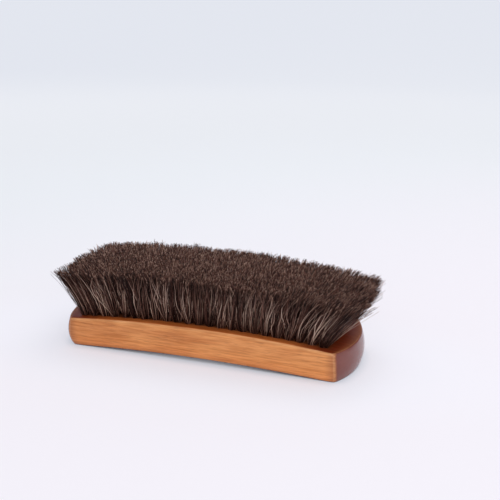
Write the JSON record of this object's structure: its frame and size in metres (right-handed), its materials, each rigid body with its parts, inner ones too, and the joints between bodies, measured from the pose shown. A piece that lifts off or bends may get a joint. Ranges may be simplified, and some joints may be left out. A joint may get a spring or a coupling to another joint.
{
  "type": "shoe shine brush",
  "caption": "Shoe shine brush: a hollow-backed wooden block with curved ends, drilled for rows of stapled horsehair tufts that flare into a dense crowned brushing face.",
  "frame": {"origin": "centre of the brush in plan, on the surface that its back rests on", "axes": "+X along the length of the block, +Y across it, +Z out of the bristle face, so the brush lies on its back with the bristles up"},
  "size_m": [0.2194, 0.0774, 0.0593],
  "materials": {
    "lacquered_wood": "stained orange-brown hardwood under glossy clear lacquer, darker towards the ends",
    "horsehair": "dense natural horsehair, dark brown with grey-brown strands, cut square at the tips",
    "anchor_wire": "plain flat steel wire, hidden in the holes"
  },
  "bodies": {
    "root": {"block": "lacquered_wood", "tuft_row_1": "horsehair", "tuft_row_2": "horsehair", "tuft_row_3": "horsehair", "tuft_row_4": "horsehair", "tuft_row_5": "horsehair", "tuft_row_6": "horsehair", "tuft_row_7": "horsehair", "tuft_row_8": "horsehair", "tuft_row_9": "horsehair", "anchor_row_1": "anchor_wire", "anchor_row_2": "anchor_wire", "anchor_row_3": "anchor_wire", "anchor_row_4": "anchor_wire", "anchor_row_5": "anchor_wire", "anchor_row_6": "anchor_wire", "anchor_row_7": "anchor_wire", "anchor_row_8": "anchor_wire", "anchor_row_9": "anchor_wire"}
  },
  "joints": []
}
